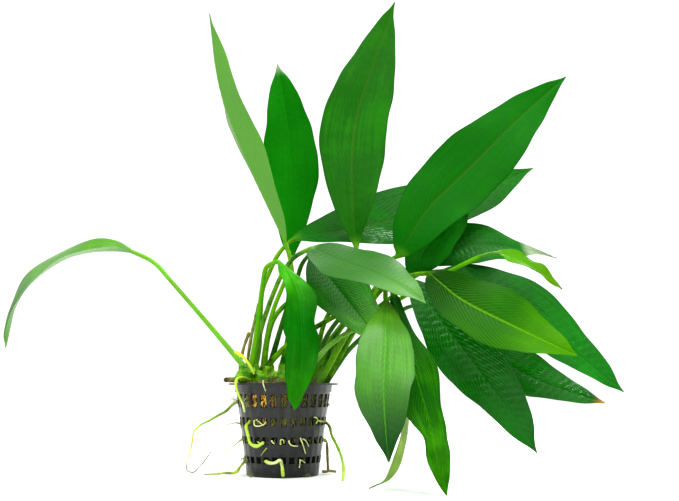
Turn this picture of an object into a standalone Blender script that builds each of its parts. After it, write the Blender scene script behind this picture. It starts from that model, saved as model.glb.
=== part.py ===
"""Potted anubias: lance-leaved water plant rooted in a slotted plastic net pot.

The pot stands on the origin, +X to the right and +Y to the back of the view
in which the plant is usually shown, +Z up. Lengths are in metres; the tables of
the leaves and roots are in millimetres and are scaled by MM.
"""

import math

import bmesh
import bpy
from mathutils import Vector

MM = 0.001

# Net pot
POT_HEIGHT = 46.5 * MM
POT_WALL = 0.9 * MM
POT_FLOOR = 1.2 * MM
POT_FOOT_RADIUS = 18.4 * MM
POT_NECK_RADIUS = 24.2 * MM
POT_NECK_HEIGHT = 41.8 * MM
COLLAR_STEP = 0.8 * MM
COLLAR_FLARE = 0.4 * MM
RIM_RADIUS = 28.4 * MM
RIM_THICKNESS = 1.0 * MM
SLOTS_PER_ROW = 28
SLOT_SHARE = 0.68
SLOT_ROWS = ((6.6, 10.0), (16.2, 19.8), (25.2, 29.4), (34.4, 41.0))

# Growing medium and the creeping stem on it
MEDIUM_GAP = 0.4 * MM
MEDIUM_EDGE_HEIGHT = 42.5 * MM
MEDIUM_CROWN_HEIGHT = 44.3 * MM
MEDIUM_CROWN = ((0.8, 0.5), (0.5, 0.85), (0.15, 1.0))
ROUND_SEGMENTS = 28
STEM_RADIUS = 4.4 * MM
STEM_SIDES = 10

# Leaf stalks and blades
STALK_RADIUS = 1.15 * MM
STALK_FOOT_RADIUS = 1.6 * MM
RING_SIDES = 8
MIDRIB_THICKNESS = 1.4 * MM
BLADE_THICKNESS = 0.7 * MM
STALK_STATIONS = 7
BLADE_STATIONS = (0.04, 0.12, 0.24, 0.37, 0.51, 0.65, 0.78, 0.89, 0.965)
WIDEST = 0.45
TIP_TAPER = 1.05
TIP_RADIUS = 0.3 * MM

# Roots and shoots, whose rings start from an upward direction that none of them runs along
TUBE_SIDES = 6
TUBE_SPACING = 9 * MM
TUBE_FEWEST_RINGS = 4
TUBE_UPWARD = Vector((0.31, 0.27, 0.91))
SLOT_CLEARANCE = 0.1 * MM
SLOT_RUN = 2 * MM

# Colour and roughness of each material
FINISHES = {
    "pot_plastic": ((0.03, 0.032, 0.032), 0.45),
    "planting_wool": ((0.10, 0.07, 0.03), 0.95),
    "stem_green": ((0.16, 0.30, 0.03), 0.5),
    "leaf_green": ((0.02, 0.16, 0.015), 0.35),
    "leaf_lime": ((0.12, 0.48, 0.02), 0.4),
    "root_green": ((0.45, 0.55, 0.12), 0.6),
    "sheath_yellow": ((0.55, 0.50, 0.08), 0.6),
    "dead_plant": ((0.20, 0.15, 0.06), 0.8),
}


def millimetres(points):
    """Turn a table of places in millimetres into vectors in metres."""
    return [Vector(point) * MM for point in points]


def clear_scene():
    """Remove the objects of the start-up scene."""
    for item in list(bpy.data.objects):
        bpy.data.objects.remove(item, do_unlink=True)


def surface(name, colour, roughness):
    """One plain material for a sub-part."""
    material = bpy.data.materials.new(name)
    material.use_nodes = True
    shader = material.node_tree.nodes["Principled BSDF"]
    shader.inputs["Base Color"].default_value = (*colour, 1.0)
    shader.inputs["Roughness"].default_value = roughness
    shader.inputs["Metallic"].default_value = 0.0
    material.diffuse_color = (*colour, 1.0)
    return material


def add_object(name, mesh_builder, material, sharp_angle=40.0):
    """Turn a finished bmesh into a named, smooth-shaded object."""
    bmesh.ops.recalc_face_normals(mesh_builder, faces=mesh_builder.faces)
    mesh = bpy.data.meshes.new(name)
    mesh_builder.to_mesh(mesh)
    mesh_builder.free()
    mesh.shade_smooth()
    mesh.set_sharp_from_angle(angle=math.radians(sharp_angle))
    mesh.materials.append(material)
    item = bpy.data.objects.new(name, mesh)
    bpy.context.scene.collection.objects.link(item)
    return item


def curve_through(points, share):
    """Place on the smooth curve through the points, share 0 to 1 counted by points."""
    spans = len(points) - 1
    place = min(max(share, 0.0), 1.0) * spans
    span = min(int(place), spans - 1)
    t = place - span
    start, end = points[span], points[span + 1]
    before = points[span - 1] if span > 0 else start * 2 - end
    after = points[span + 2] if span + 2 <= spans else end * 2 - start
    return 0.5 * (
        2 * start
        + (end - before) * t
        + (2 * before - 5 * start + 4 * end - after) * t * t
        + (3 * start - before - 3 * end + after) * t ** 3
    )


def curve_length(points, first_share, last_share, samples=120):
    """Length of the smooth curve between two shares."""
    step = (last_share - first_share) / samples
    fine = [curve_through(points, first_share + step * index) for index in range(samples + 1)]
    return sum((second - first).length for first, second in zip(fine, fine[1:]))


def even_curve(points, shares, samples=240):
    """Places at the given shares of the curve's length, with their directions."""
    fine = [curve_through(points, step / samples) for step in range(samples + 1)]
    lengths = [0.0]
    for first, second in zip(fine, fine[1:]):
        lengths.append(lengths[-1] + (second - first).length)
    places = []
    for share in shares:
        wanted = share * lengths[-1]
        index = next(i for i, length in enumerate(lengths) if length >= wanted - 1e-12)
        index = max(index, 1)
        step = lengths[index] - lengths[index - 1]
        part = (wanted - lengths[index - 1]) / step if step else 0.0
        place = fine[index - 1].lerp(fine[index], part)
        direction = (fine[index] - fine[index - 1]).normalized()
        places.append((place, direction))
    return places


def split_side(lower, upper, near, far):
    """Cut the face between two rings from corner near of the lower to far of the upper."""
    shared = set(lower[near].link_faces) & set(upper[far].link_faces)
    for side in shared:
        if len(side.verts) == 4:
            bmesh.utils.face_split(side, lower[near], upper[far])
            return


def loft(rings):
    """Extrude a cap from ring to ring into one closed body.

    The first half of each ring is its upper side. Its faces are cut along the
    same way as those of the lower side, so that a twisted thin blade stays thick.
    """
    body = bmesh.new()
    sides = len(rings[0])
    bmesh.ops.create_circle(body, cap_ends=True, segments=sides, radius=MM)
    face = body.faces[:][0]
    lower = list(face.verts)
    first_loop = lower
    for corner, place in zip(lower, rings[0]):
        corner.co = place
    for ring in rings[1:]:
        grown = bmesh.ops.extrude_discrete_faces(body, faces=[face])
        face = grown["faces"][0]
        upper = list(face.verts)
        for corner, place in zip(upper, ring):
            corner.co = place
        for corner in range(sides):
            following = (corner + 1) % sides
            if corner < sides // 2:
                split_side(lower, upper, corner, following)
            else:
                split_side(lower, upper, following, corner)
        lower = upper
    bmesh.ops.contextual_create(body, geom=first_loop)
    return body


def round_ring(centre, direction, upward, radius, sides):
    """A ring of points around a place on a curve."""
    side = direction.cross(upward).normalized()
    top = side.cross(direction).normalized()
    ring = []
    for step in range(sides):
        turn = math.tau * step / sides
        ring.append(centre + radius * (side * math.cos(turn) + top * math.sin(turn)))
    return ring


def carried_upward(directions, upward):
    """Carry an upward direction along a curve without twisting around it."""
    carried = []
    before = directions[0]
    for direction in directions:
        upward = before.rotation_difference(direction) @ upward
        upward = (upward - direction * upward.dot(direction)).normalized()
        carried.append(upward)
        before = direction
    return carried


def blade_width(share, widest, taper):
    """Outline of a lance-shaped blade: share of the full width at a share of its length."""
    rise = (share / widest) ** (taper * widest / (1.0 - widest))
    fall = ((1.0 - share) / (1.0 - widest)) ** taper
    return rise * fall


def blade_ring(centre, direction, facing, half_width, fold, wave, thickness):
    """Cross-section of a blade: two margins, the midrib and the flesh between them."""
    side = direction.cross(facing).normalized()
    top = side.cross(direction).normalized()
    margin_rise = half_width * math.sin(fold)
    reach = half_width * math.cos(fold)
    flesh = min(BLADE_THICKNESS, thickness) / 2
    rib = thickness / 2
    right = side * reach + top * (margin_rise + wave)
    left = top * (margin_rise - wave) - side * reach
    return [
        centre + right,
        centre + right * 0.5 + top * flesh,
        centre + top * rib,
        centre + left * 0.5 + top * flesh,
        centre + left,
        centre + left * 0.5 - top * flesh,
        centre - top * rib,
        centre + right * 0.5 - top * flesh,
    ]


def leaf(name, material, stalk, blade, width, facings, folds, waves=(0, 0), foot=1.0, widest=WIDEST,
         taper=TIP_TAPER):
    """A leaf: round stalk from the foot, then a folded blade from base to tip.

    The foot is counted in times of the usual foot radius, and waves are their
    height in millimetres and how many of them the blade has.
    """
    route = millimetres(stalk + blade)
    base_share = len(stalk) / (len(route) - 1)
    stalk_length = curve_length(route, 0.0, base_share)
    blade_length = curve_length(route, base_share, 1.0)
    whole = stalk_length + blade_length
    stalk_shares = [stalk_length / whole * step / STALK_STATIONS for step in range(STALK_STATIONS + 1)]
    blade_shares = [(stalk_length + share * blade_length) / whole for share in BLADE_STATIONS]
    places = even_curve(route, stalk_shares + blade_shares + [1.0])
    looks = [Vector(facing).normalized() for facing in facings]
    openings = [Vector((math.radians(fold), 0, 0)) for fold in folds]
    wave_height, wave_count = waves

    stalk_places = places[:STALK_STATIONS + 1]
    blade_to_foot = [direction for centre, direction in reversed(stalk_places)]
    upwards = reversed(carried_upward(blade_to_foot, looks[0]))
    rings = []
    for step, ((centre, direction), upward) in enumerate(zip(stalk_places, upwards)):
        flare = (1.0 - step / STALK_STATIONS) ** 3
        radius = STALK_RADIUS + (foot * STALK_FOOT_RADIUS - STALK_RADIUS) * flare
        rings.append(round_ring(centre, direction, upward, radius, RING_SIDES))
    for share, (centre, direction) in zip(BLADE_STATIONS, places[STALK_STATIONS + 1:]):
        outline = blade_width(share, widest, taper)
        half_width = max(width * MM / 2 * outline, STALK_RADIUS * (1.0 - share))
        fold = curve_through(openings, share).x
        wave = wave_height * MM * math.sin(math.tau * wave_count * share) * outline
        thickness = MIDRIB_THICKNESS * (1.0 - 0.5 * share)
        facing = curve_through(looks, share)
        rings.append(blade_ring(centre, direction, facing, half_width, fold, wave, thickness))
    centre, direction = places[-1]
    rings.append(round_ring(centre, direction, looks[-1], TIP_RADIUS, RING_SIDES))
    return add_object(name, loft(rings), material, 60.0)


def tube(name, material, points, radii, spacing=TUBE_SPACING):
    """A tapering round body along a smooth route, with a ring about every so many metres."""
    length = curve_length(points, 0.0, 1.0)
    stations = max(TUBE_FEWEST_RINGS, round(length / spacing) + 1)
    shares = [step / (stations - 1) for step in range(stations)]
    places = even_curve(points, shares)
    upwards = carried_upward([direction for centre, direction in places], TUBE_UPWARD)
    rings = []
    for share, (centre, direction), upward in zip(shares, places, upwards):
        radius = radii[0] + (radii[1] - radii[0]) * share
        rings.append(round_ring(centre, direction, upward, radius * MM, TUBE_SIDES))
    return add_object(name, loft(rings), material)


def pot_radius(height):
    """Outer radius of the tapered wall at a height."""
    taper = (POT_NECK_RADIUS - POT_FOOT_RADIUS) / POT_NECK_HEIGHT
    return POT_FOOT_RADIUS + taper * height


def wall_ring(body, radius, height):
    """One edge loop of the pot's wall: two points for each slot and bar."""
    pitch = math.tau / SLOTS_PER_ROW
    ring = []
    for slot in range(SLOTS_PER_ROW):
        for turn in (slot * pitch, (slot + SLOT_SHARE) * pitch):
            ring.append(body.verts.new((radius * math.cos(turn), radius * math.sin(turn), height)))
    return ring


def pot(material):
    """Tapered pot with rows of slots, a stepped collar and a flat rim."""
    collar_radius = POT_NECK_RADIUS + COLLAR_STEP
    rim_underside = POT_HEIGHT - RIM_THICKNESS
    outside = [(POT_FOOT_RADIUS, 0.0)]
    for low, high in SLOT_ROWS:
        outside.append((pot_radius(low * MM), low * MM))
        outside.append((pot_radius(high * MM), high * MM))
    outside.append((POT_NECK_RADIUS, POT_NECK_HEIGHT))
    outside.append((collar_radius, POT_NECK_HEIGHT))
    outside.append((collar_radius + COLLAR_FLARE, rim_underside))
    outside.append((RIM_RADIUS, rim_underside))
    outside.append((RIM_RADIUS, POT_HEIGHT))
    inside = [(collar_radius + COLLAR_FLARE - POT_WALL, POT_HEIGHT),
              (POT_NECK_RADIUS - POT_WALL, POT_NECK_HEIGHT)]
    for low, high in reversed(SLOT_ROWS):
        inside.append((pot_radius(high * MM) - POT_WALL, high * MM))
        inside.append((pot_radius(low * MM) - POT_WALL, low * MM))
    inside.append((pot_radius(POT_FLOOR) - POT_WALL, POT_FLOOR))

    body = bmesh.new()
    rings = [wall_ring(body, radius, height) for radius, height in outside + inside]
    count = len(rings[0])
    slot_count = len(SLOT_ROWS)
    slot_bands = {2 * row + 1: row for row in range(slot_count)}
    first_inside = len(outside) + 2
    inner_bands = {first_inside + 2 * (slot_count - 1 - row): row for row in range(slot_count)}
    for band, (low, high) in enumerate(zip(rings, rings[1:])):
        for step in range(count):
            is_slot = step % 2 == 0
            if is_slot and (band in slot_bands or band in inner_bands):
                continue
            after = (step + 1) % count
            body.faces.new((low[step], low[after], high[after], high[step]))
    body.faces.new(rings[0])
    body.faces.new(rings[-1])
    for outer_band, row in slot_bands.items():
        inner_band = next(band for band, inner_row in inner_bands.items() if inner_row == row)
        for step in range(0, count, 2):
            after = step + 1
            outer = (rings[outer_band][step], rings[outer_band][after],
                     rings[outer_band + 1][after], rings[outer_band + 1][step])
            inner = (rings[inner_band + 1][step], rings[inner_band + 1][after],
                     rings[inner_band][after], rings[inner_band][step])
            for corner in range(4):
                following = (corner + 1) % 4
                body.faces.new((outer[corner], outer[following], inner[following], inner[corner]))
    return add_object("pot", body, material, 30.0)


def medium(material):
    """The fibrous planting wool that fills the pot to just under its rim."""
    outline = []
    for height in (POT_FLOOR + MEDIUM_GAP, MEDIUM_EDGE_HEIGHT):
        outline.append((pot_radius(height) - POT_WALL - MEDIUM_GAP, height))
    for radius_share, rise_share in MEDIUM_CROWN:
        height = MEDIUM_EDGE_HEIGHT + (MEDIUM_CROWN_HEIGHT - MEDIUM_EDGE_HEIGHT) * rise_share
        outline.append((pot_radius(MEDIUM_EDGE_HEIGHT) * radius_share, height))
    rings = []
    for radius, height in outline:
        centre = Vector((0, 0, height))
        rings.append(round_ring(centre, Vector((0, 0, 1)), Vector((1, 0, 0)), radius, ROUND_SEGMENTS))
    return add_object("growing_medium", loft(rings), material)


def creeping_stem(name, material, points, swellings):
    """Part of the thick green stem: a lumpy round body that lies on the medium."""
    route = millimetres(points)
    stations = len(swellings)
    shares = [step / (stations - 1) for step in range(stations)]
    rings = []
    for swelling, (centre, direction) in zip(swellings, even_curve(route, shares)):
        rings.append(round_ring(centre, direction, Vector((0, 0, 1)), STEM_RADIUS * swelling, STEM_SIDES))
    return add_object(name, loft(rings), material)


# Each leaf in millimetres and degrees: stalk from its foot, blade from base to tip,
# width, the way its upper face looks and how far its halves fold up, both given at
# base, middle and tip.
LEAVES = {
    "leaf_arching_left": dict(
        stalk=[(-19, -9, 54), (-33, -6, 70), (-54, -8, 94), (-69, -8, 110)],
        blade=[(-78, -8, 114), (-93, -9, 115), (-109, -12, 112), (-123, -16, 102.5), (-133.5, -20, 88),
               (-137, -24, 64)],
        width=28, facings=[(0, -0.3, 1), (-0.5, -0.4, 0.7), (-1, -0.4, 0)], folds=(35, 8, 20),
        taper=0.95),
    "leaf_tall_left": dict(
        stalk=[(-1, -4, 54), (2, -5, 67), (5, -6, 89), (4, -6, 106)],
        blade=[(1, -6, 119), (-11, -6, 145), (-26, -6, 178), (-36, -6, 208), (-42, -4, 247)],
        width=30, facings=[(0.9, 0.4, 0.1), (0.9, 0.4, 0.1), (0.9, 0.4, 0)], folds=(20, 20, 20)),
    "leaf_upright_left": dict(
        stalk=[(-11, 5, 54), (-10, 7, 66), (-7, 12, 84), (-1, 20, 102)],
        blade=[(2, 24, 113), (2, 27, 140), (1, 30, 178), (-3, 31, 208), (-7, 32, 231)],
        width=31, facings=[(0.1, -1, 0.1), (0.1, -1, 0.1), (0.1, -1, 0.1)], folds=(12, 10, 10),
        widest=0.5),
    "leaf_over_pot": dict(
        stalk=[(-16, -13, 53), (-13, -15, 71), (-10, -20, 94), (-7, -26, 105)],
        blade=[(-2, -31, 106), (2, -34, 103), (7, -38, 94), (10, -42, 82), (11, -45, 69), (11, -46, 58),
               (10, -46, 45), (8, -46, 34)],
        width=19, facings=[(0.3, -0.6, 0.7), (0.6, -1, 0.2), (-0.6, -1, 0)], folds=(15, 10, 10),
        waves=(1, 1.6), widest=0.5, taper=0.85),
    "leaf_centre_upright": dict(
        stalk=[(16, -1, 45), (20, 0, 74), (30, 0, 95), (36, 0, 110)],
        blade=[(38, 1, 117), (36.5, 3, 142), (36, 8, 168), (38.5, 12, 192), (45, 15, 216),
               (53, 18, 240), (61, 20, 264)],
        width=37, facings=[(0, -1, 0.1), (0, -1, 0.1), (0, -1, 0.1)], folds=(10, 6, 6), widest=0.46,
        taper=1.15),
    "leaf_right_upright": dict(
        stalk=[(-10, -1, 54), (-6, 5, 80), (14, 9, 98), (40, 8, 108)],
        blade=[(59, 3, 113), (68, 2, 126), (80, 3, 143), (98, 4, 160), (118, 5, 181),
               (139, 7, 201), (155, 8, 215)],
        width=40, facings=[(-0.2, -1, 0.2), (-0.2, -1, 0.2), (-0.2, -1, 0.2)], folds=(10, 6, 6),
        widest=0.42),
    "leaf_behind_broad": dict(
        stalk=[(-15, 0, 54), (-13, 1, 66), (-12, 4, 94), (-7, 6, 108)],
        blade=[(3, 9, 123), (30, 20, 130), (64, 34, 140), (106, 47, 156), (146, 58, 175)],
        width=48, facings=[(0, -0.75, 0.65), (0, -0.75, 0.65), (0, -0.75, 0.65)], folds=(10, 6, 6),
        widest=0.47),
    "leaf_centre_level": dict(
        stalk=[(-14, -8, 54), (-12, -9, 71), (-4, -13, 94), (4, -17, 108)],
        blade=[(14, -21, 114), (27, -32, 107), (44, -46, 99), (57, -58, 92), (68, -70, 82)],
        width=31, facings=[(0.2, -0.75, 0.6), (0.2, -0.75, 0.6), (0.2, -0.75, 0.6)], folds=(8, 6, 6),
        widest=0.4),
    "leaf_centre_drooping": dict(
        stalk=[(-7, -7, 54), (1, 0, 84), (7, 2, 102), (10, 1, 111)],
        blade=[(14, -4, 114), (19, -8, 107), (27, -13, 96), (38, -19, 82), (51, -27, 65)],
        width=31, facings=[(0.3, -0.9, 0.3), (0.3, -0.9, 0.3), (0.3, -0.9, 0.3)], folds=(8, 6, 6)),
    "leaf_front_hanging": dict(
        stalk=[(18, -9, 45), (32, -6, 70), (43, -5, 88), (51, -14, 100), (52, -32, 99)],
        blade=[(51, -48, 87), (50, -70, 66), (48, -88, 46), (48, -99, 29), (49, -106, 15)],
        width=26, facings=[(0, -1, 0.5), (0, -1, 0.3), (0, -1, 0.2)], folds=(8, 6, 6), foot=1.25,
        widest=0.52),
    "leaf_front_wavy": dict(
        stalk=[(21, -4, 45), (35, 0, 70), (47, 0, 90), (57, -10, 100), (58, -24, 98)],
        blade=[(55, -36, 91), (57.5, -46, 78), (60.5, -58, 63), (64, -69, 47), (67, -77, 34),
               (69, -86, 20), (71, -92, 10), (73, -97, 1)],
        width=19, facings=[(0.4, -1, 0.3), (0.4, -1, 0.2), (0.4, -1, 0)], folds=(8, 6, 6), waves=(2, 2.5),
        widest=0.5, taper=0.9),
    "leaf_front_curled": dict(
        stalk=[(11, -10, 46), (18, -12, 59), (30, -13, 70), (46, -12, 77), (58, -20, 80)],
        blade=[(60, -34, 72), (60, -46, 54), (60, -56, 40), (60, -62, 28), (57, -66, 16), (52, -69, 6),
               (42, -72, 1)],
        width=12, facings=[(-1, -0.3, 0.3), (-1, -0.3, 0.3), (-1, -0.3, 0.3)], folds=(12, 12, 12)),
    "leaf_right_low_dark": dict(
        stalk=[(15, 3, 45), (20, 7, 66), (32, 12, 84), (53, 10, 99)],
        blade=[(66, -2, 100), (81, -10, 79), (97, -20, 55), (111.5, -32, 33), (122, -42, 14)],
        width=34, facings=[(0.1, -0.9, 0.4), (0.1, -0.9, 0.4), (0.1, -0.9, 0.4)], folds=(8, 6, 6)),
    "leaf_right_low_back": dict(
        stalk=[(21, 4, 45), (37, 11, 67), (62, 21, 85)],
        blade=[(79, 24, 89), (104, 26, 69.5), (128, 24, 53), (150, 20, 43), (171, 14, 36)],
        width=32, facings=[(0, -0.8, 0.6), (0, -0.8, 0.6), (0, -0.8, 0.6)], folds=(8, 6, 6)),
    "leaf_right_bright": dict(
        stalk=[(-9, -10, 54), (-3, -11, 61), (6, -11, 68), (22, -8, 78), (40, 6, 89), (60, 0, 100)],
        blade=[(73, -24, 101), (84, -30, 91), (95, -36, 83), (111, -43, 74), (126, -48, 66),
               (140, -52, 59)],
        width=38, facings=[(0, -0.8, 0.6), (0, -0.8, 0.6), (0, -0.8, 0.6)], folds=(8, 6, 6)),
    "leaf_right_outer": dict(
        stalk=[(18, 10, 45), (30, 15, 76), (60, 16, 102), (74, 13, 105)],
        blade=[(84, 14, 107), (111, 12, 98.5), (134, 8, 82), (156, 4, 61), (177, 0, 42)],
        width=34, facings=[(0, -0.8, 0.6), (0, -0.8, 0.6), (0, -0.8, 0.6)], folds=(8, 6, 6)),
    "leaf_back_arching": dict(
        stalk=[(8, 19, 45), (30, 27, 78), (60, 31, 107)],
        blade=[(77, 28, 111), (92, 28, 120), (111, 30, 124), (133, 34, 122), (155, 42, 118)],
        width=38, facings=[(0, -0.7, 0.7), (0, -0.7, 0.7), (0, -0.7, 0.7)], folds=(8, 6, 6), widest=0.36,
        taper=2.4),
    "leaf_young_lime": dict(
        stalk=[(9, 13, 45), (28, 20, 68), (58, 10, 89), (80, -2, 101), (94, -5, 108)],
        blade=[(102, -4, 112), (108, -6, 113.5), (115.5, -8, 112.5), (123.5, -12, 108.5), (131.5, -16, 103),
               (138, -18, 98), (142, -20, 93.5)],
        finish="leaf_lime",
        width=15, facings=[(0, -0.4, 0.9), (0, -0.4, 0.9), (0, -0.4, 0.9)], folds=(12, 12, 12)),
    "leaf_behind_hidden": dict(
        stalk=[(14, 14, 45), (26, 24, 64), (48, 28, 86), (62, 25, 97)],
        blade=[(68, 21, 103), (73, 17, 113), (81, 13, 126), (92, 11, 143), (101, 12, 158)],
        width=26, facings=[(0, -1, 0.2), (0, -1, 0.2), (0, -1, 0.2)], folds=(8, 6, 6)),
}

# Each root in millimetres: the slot that it leaves through (row, and slot number
# counted from +X towards the back), or none for one over the rim, its route and
# the radii of its ends.
ROOTS = {
    "root_over_rim": dict(
        points=[(-16, -13, 48), (-19, -15.2, 49.2), (-22, -18.8, 48.6), (-22.5, -20.8, 45.5),
                (-21.2, -20.4, 41), (-19.4, -18.8, 37), (-18.1, -17.6, 32)],
        radii=(0.8, 0.55), spacing=4.6 * MM),
    "root_left_loop": dict(
        slot=(3, 14), points=[(-27.4, -2, 33.6), (-33, -2, 30.2), (-39, -2, 26.8), (-44.8, -2, 23.5),
                              (-46, -3, 18.8), (-46.9, -3.6, 13.1), (-48.5, -4.6, 6.6), (-48.6, -5, 3.2),
                              (-47.1, -5.3, 1.2), (-44.3, -5.6, 2.2), (-40.3, -6, 6.2), (-36, -6, 12.2)],
        radii=(0.75, 0.3), spacing=4.9 * MM),
    "root_left_low": dict(
        slot=(0, 15), points=[(-20.8, -7.8, 4), (-23.8, -8, 1.7), (-28.3, -8.6, 1.6), (-32, -9.2, 1.3),
                              (-39, -10, 1)],
        radii=(0.85, 0.45), spacing=5 * MM),
    "root_front_left": dict(
        slot=(2, 17), points=[(-17.2, -17.4, 23.9), (-15.9, -18, 19.9), (-14.8, -18.8, 16.6),
                              (-12.2, -20.3, 15.5), (-7.9, -22, 17.7)],
        radii=(0.85, 0.8), spacing=4.8 * MM),
    "root_front_low": dict(
        slot=(0, 19), points=[(-3.4, -21.9, 7.4), (0.2, -22.8, 9), (1.1, -23, 5.8), (1.7, -23, 1)],
        radii=(0.75, 0.9), spacing=3 * MM),
    "root_right_long": dict(
        slot=(2, 27), points=[(25.4, -13, 20.3), (28.4, -20, 14.9), (30.5, -27, 9.8), (31.2, -34, 4.8),
                              (30.6, -41, 1.1)],
        radii=(0.8, 0.75), spacing=7 * MM),
    "root_right_brown": dict(
        slot=(1, 0), points=[(22.8, 1.8, 14), (23, 1.8, 8), (23.4, 1.8, 1.2)],
        radii=(0.8, 0.65), spacing=4 * MM, finish="dead_plant"),
}

# Dead and young parts beside the stalks, in millimetres.
SHOOTS = {
    "old_stem_stub": dict(points=[(-23.2, -9, 48.2), (-30, -9, 48.1)], radii=(1.3, 1.4)),
    "old_stalk_tall": dict(points=[(-19, -4.5, 52), (-17, -5, 68), (-13, -5, 88)], radii=(0.9, 0.7)),
    "old_stalk_short": dict(points=[(-22.5, -4, 50), (-21.5, -2, 62), (-18, -1, 73)], radii=(0.9, 0.8)),
    "young_sheath": dict(points=[(-13.8, -16.5, 51), (-16.8, -16.8, 56.5), (-20, -16.8, 60), (-24, -16.5, 62.5)],
                         radii=(0.7, 0.8),
                         finish="sheath_yellow"),
}


def slot_mouth(row, slot):
    """Place in the middle of a slot, just inside the wall."""
    low, high = SLOT_ROWS[row]
    height = (low + high) / 2 * MM
    turn = (slot + SLOT_SHARE / 2) * math.tau / SLOTS_PER_ROW
    radius = pot_radius(height) - POT_WALL + SLOT_CLEARANCE
    return Vector((radius * math.cos(turn), radius * math.sin(turn), height))


def root(name, material, points, radii, slot=None, spacing=TUBE_SPACING):
    """A root that leaves through a slot of the pot, or over its rim."""
    route = millimetres(points)
    if slot:
        mouth = slot_mouth(*slot)
        outward = Vector((mouth.x, mouth.y, 0)).normalized()
        route = [mouth, mouth + outward * SLOT_RUN] + route
    return tube(name, material, route, radii, spacing)


# Both lengths of the creeping stem in millimetres, with their swellings in times of its radius.
STEMS = {
    "stem_front": dict(points=[(-23, -9, 49), (-8, -8, 49), (8, -7, 49)],
                       swellings=(0.45, 0.9, 1.0, 0.85, 1.0, 0.9, 0.5)),
    "stem_back": dict(points=[(-18, 3, 49), (-4, 6, 49), (10, 7, 49)],
                      swellings=(0.45, 0.9, 0.8, 0.9, 0.75, 0.85, 0.5)),
}


def shoot(name, material, points, radii):
    """A bare stalk, a stub or a sheath beside the leaves."""
    return tube(name, material, millimetres(points), radii)


def build_all(shapes, builder, finishes, usual_finish):
    """Make one object for each row of a table."""
    for name, row in shapes.items():
        shape = dict(row)
        material = finishes[shape.pop("finish", usual_finish)]
        builder(name, material, **shape)


def main():
    """Build every sub-part."""
    clear_scene()
    finishes = {name: surface(name, colour, roughness) for name, (colour, roughness) in FINISHES.items()}
    pot(finishes["pot_plastic"])
    medium(finishes["planting_wool"])
    build_all(STEMS, creeping_stem, finishes, "stem_green")
    build_all(LEAVES, leaf, finishes, "leaf_green")
    build_all(ROOTS, root, finishes, "root_green")
    build_all(SHOOTS, shoot, finishes, "dead_plant")


if __name__ == "__main__":
    main()
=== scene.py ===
# %% [markdown]
# A lance-leaved water plant in its net pot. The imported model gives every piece's
# place and size. This lesson dresses it: fine blades in place of the plain ones,
# wool and roots in the pot, and the colours and gloss of wet leaves.

# %% Load the frame
import math
import random

import bmesh
import bpy
import numpy as np
from mathutils import Matrix, Vector


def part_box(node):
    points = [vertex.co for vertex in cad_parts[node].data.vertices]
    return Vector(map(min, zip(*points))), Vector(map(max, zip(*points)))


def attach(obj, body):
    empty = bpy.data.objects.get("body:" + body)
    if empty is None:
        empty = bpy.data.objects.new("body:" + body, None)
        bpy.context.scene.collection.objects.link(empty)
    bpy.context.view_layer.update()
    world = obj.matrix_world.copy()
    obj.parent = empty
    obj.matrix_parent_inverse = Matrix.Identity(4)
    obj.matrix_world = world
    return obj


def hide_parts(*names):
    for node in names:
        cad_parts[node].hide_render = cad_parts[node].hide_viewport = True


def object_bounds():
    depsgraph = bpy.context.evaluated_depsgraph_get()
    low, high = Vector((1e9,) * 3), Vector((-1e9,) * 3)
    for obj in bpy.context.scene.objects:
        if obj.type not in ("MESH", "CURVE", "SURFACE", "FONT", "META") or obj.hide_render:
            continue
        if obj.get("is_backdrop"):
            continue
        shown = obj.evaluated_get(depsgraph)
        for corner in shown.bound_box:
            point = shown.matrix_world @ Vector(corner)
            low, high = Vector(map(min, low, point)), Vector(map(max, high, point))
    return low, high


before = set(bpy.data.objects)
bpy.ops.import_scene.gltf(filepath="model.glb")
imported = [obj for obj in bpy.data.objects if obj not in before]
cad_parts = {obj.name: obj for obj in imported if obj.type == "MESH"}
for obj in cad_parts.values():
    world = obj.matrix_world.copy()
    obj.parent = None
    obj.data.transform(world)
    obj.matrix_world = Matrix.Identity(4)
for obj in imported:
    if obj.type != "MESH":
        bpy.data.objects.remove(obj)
CAD_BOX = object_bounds()
MM = 0.001
print("nodes", len(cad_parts))

# %% [markdown]
# The camera comes first, because every later step is judged through it. The
# picture is taken from just above the floor, half a metre away, and tilted up a
# little, so the pot shows almost no rim ellipse and the leaves lean over us.
# A focal length in picture widths is turned into Blender's lens millimetres.

# %% Camera
CAMERA_PLACE = (29.2 * MM, -480 * MM, 46 * MM)
CAMERA_PITCH = math.radians(8.33)
PICTURE_WIDTH = 679
FOCAL_PIXELS = 912
SENSOR_WIDTH = 36.0

camera_data = bpy.data.cameras.new("camera")
camera_data.sensor_fit = "HORIZONTAL"
camera_data.sensor_width = SENSOR_WIDTH
camera_data.lens = SENSOR_WIDTH * FOCAL_PIXELS / PICTURE_WIDTH
camera_data.clip_start = 0.01
camera = bpy.data.objects.new("camera", camera_data)
camera.location = CAMERA_PLACE
camera.rotation_euler = (math.pi / 2 + CAMERA_PITCH, 0, 0)
bpy.context.scene.collection.objects.link(camera)
bpy.context.scene.camera = camera
print("lens", round(camera_data.lens, 2))

# %% [markdown]
# A white sweep of paper and soft boxes make the even, nearly shadowless light of
# a product shot. The world is plain white, a large box hangs over the front, and
# a smaller one behind lights the wet ripples of the leaves that lie flat.

# %% Floor and light
FLOOR_SIZE = 8.0
WORLD_STRENGTH = 1.0
LIGHT_TARGET = Vector((0.03, 0.0, 0.12))


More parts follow.
